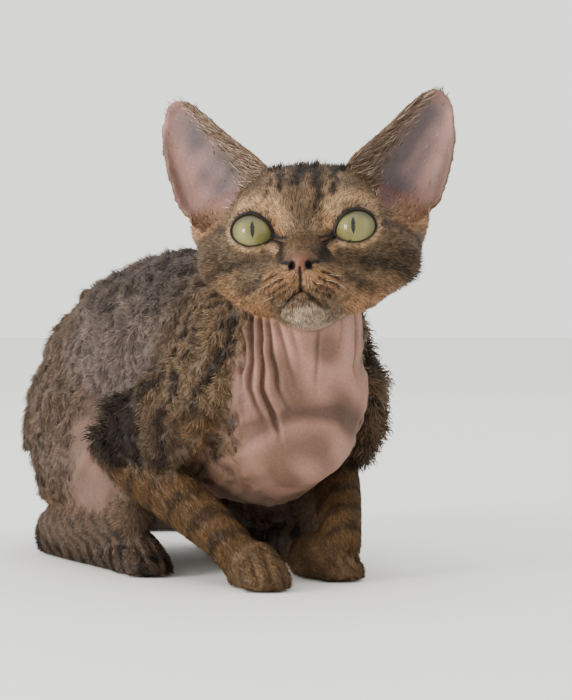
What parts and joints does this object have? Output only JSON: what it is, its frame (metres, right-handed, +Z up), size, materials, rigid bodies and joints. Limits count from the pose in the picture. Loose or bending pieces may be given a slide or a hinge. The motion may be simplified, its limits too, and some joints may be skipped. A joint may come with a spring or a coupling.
{
  "type": "devon rex cat",
  "caption": "Life-size still model of a crouching Devon rex cat with a wavy brown tabby coat, bare chest, large ears and green eyes, its head raised.",
  "frame": {"origin": "on the floor, under the middle of the cat's bounding box", "axes": "+Z up, -Y the way the trunk faces, +X the cat's left side"},
  "size_m": [0.1562, 0.3462, 0.2125],
  "materials": {
    "coat": "matte wavy brown tabby fur",
    "rufous_coat": "matte short reddish-brown fur",
    "bare_skin": "soft pink skin with thin down",
    "iris": "wet and glossy"
  },
  "bodies": {
    "root": {"head": "coat", "neck": "bare_skin", "chest": "bare_skin", "belly": "coat", "rump": "coat", "ear_right": "bare_skin", "eye_right": "iris", "upper_arm_right": "coat", "forearm_right": "rufous_coat", "forepaw_right": "rufous_coat", "thigh_right": "coat", "lower_leg_right": "coat", "hind_foot_right": "rufous_coat", "ear_left": "bare_skin", "eye_left": "iris", "upper_arm_left": "coat", "forearm_left": "rufous_coat", "forepaw_left": "rufous_coat", "thigh_left": "coat", "lower_leg_left": "coat", "hind_foot_left": "rufous_coat", "tail_root": "coat", "tail_middle": "coat", "tail_tip": "coat"}
  },
  "joints": []
}
